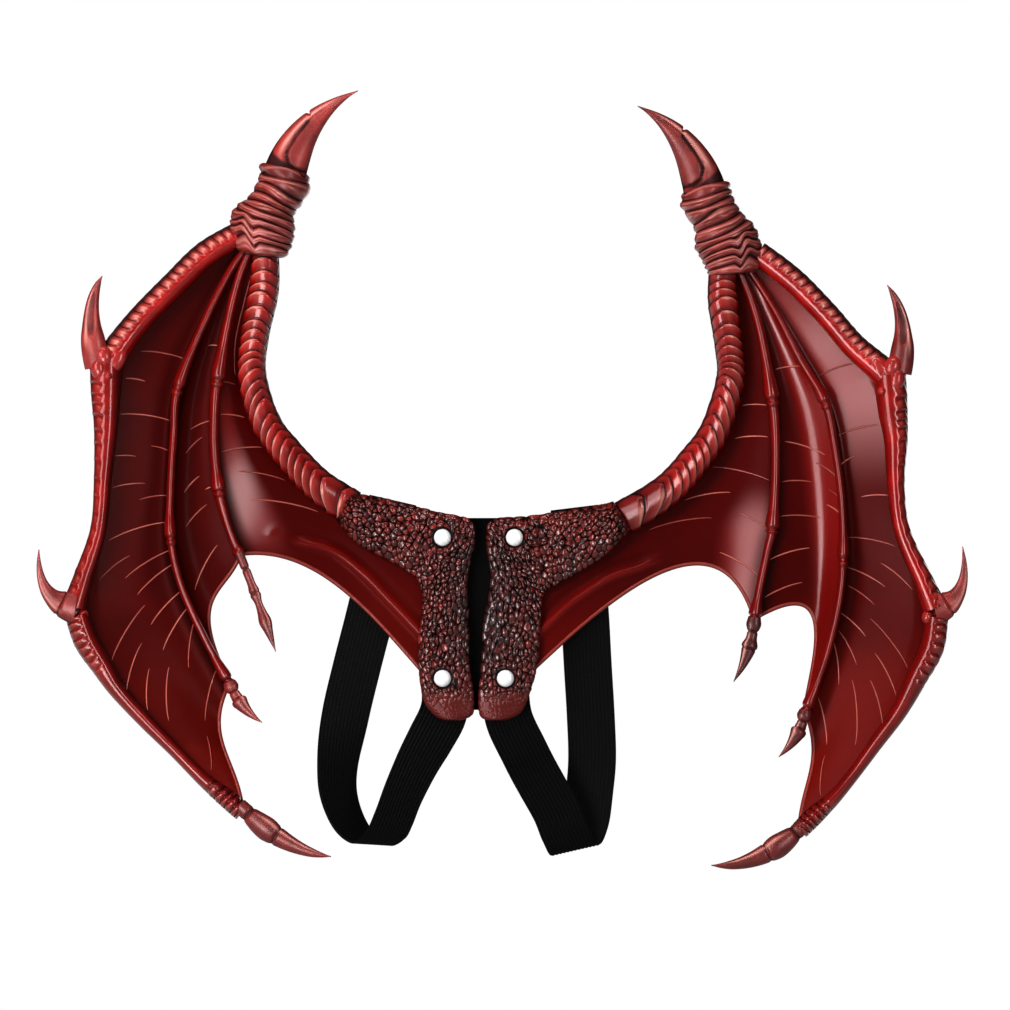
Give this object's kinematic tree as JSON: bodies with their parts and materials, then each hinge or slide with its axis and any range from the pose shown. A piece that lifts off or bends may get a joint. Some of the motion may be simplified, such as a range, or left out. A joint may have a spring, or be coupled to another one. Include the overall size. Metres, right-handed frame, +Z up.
{
  "type": "costume wings",
  "caption": "Moulded pterodactyl costume wings with ribbed arms, clawed fingers and scalloped membranes, riveted through scaled plates to a back panel with elastic arm loops.",
  "frame": {"origin": "middle of the back panel's rear face, which lies against the wearer's back", "axes": "+X to the right wing as the outer face is seen, +Y towards the wearer, +Z up"},
  "size_m": [0.6205, 0.0999, 0.5181],
  "materials": {
    "membrane": "glossy lacquer, dark maroon",
    "bone": "glossy lacquer, red with a black wash",
    "claw": "satin lacquer, rose red with a black wash",
    "scales": "satin pebbled, dark maroon",
    "rivet": "polished white",
    "elastic": "ribbed woven elastic, black",
    "panel": "matt felt, black"
  },
  "bodies": {
    "root": {"left_wing_membrane": "membrane", "left_arm_bone": "bone", "left_wrist_wrap": "claw", "left_thumb_claw": "claw", "left_upper_finger_bone": "bone", "left_upper_spike": "claw", "left_middle_finger_bone": "bone", "left_lower_spike": "claw", "left_lower_finger_bone": "bone", "left_tip_claw": "claw", "left_inner_rib": "bone", "left_inner_rib_claw": "claw", "left_outer_rib": "bone", "left_outer_rib_claw": "claw", "left_scale_plate": "scales", "left_top_rivet": "rivet", "left_bottom_rivet": "rivet", "left_arm_strap": "elastic", "right_wing_membrane": "membrane", "right_arm_bone": "bone", "right_wrist_wrap": "claw", "right_thumb_claw": "claw", "right_upper_finger_bone": "bone", "right_upper_spike": "claw", "right_middle_finger_bone": "bone", "right_lower_spike": "claw", "right_lower_finger_bone": "bone", "right_tip_claw": "claw", "right_inner_rib": "bone", "right_inner_rib_claw": "claw", "right_outer_rib": "bone", "right_outer_rib_claw": "claw", "right_scale_plate": "scales", "right_top_rivet": "rivet", "right_bottom_rivet": "rivet", "right_arm_strap": "elastic", "back_panel": "panel"}
  },
  "joints": []
}
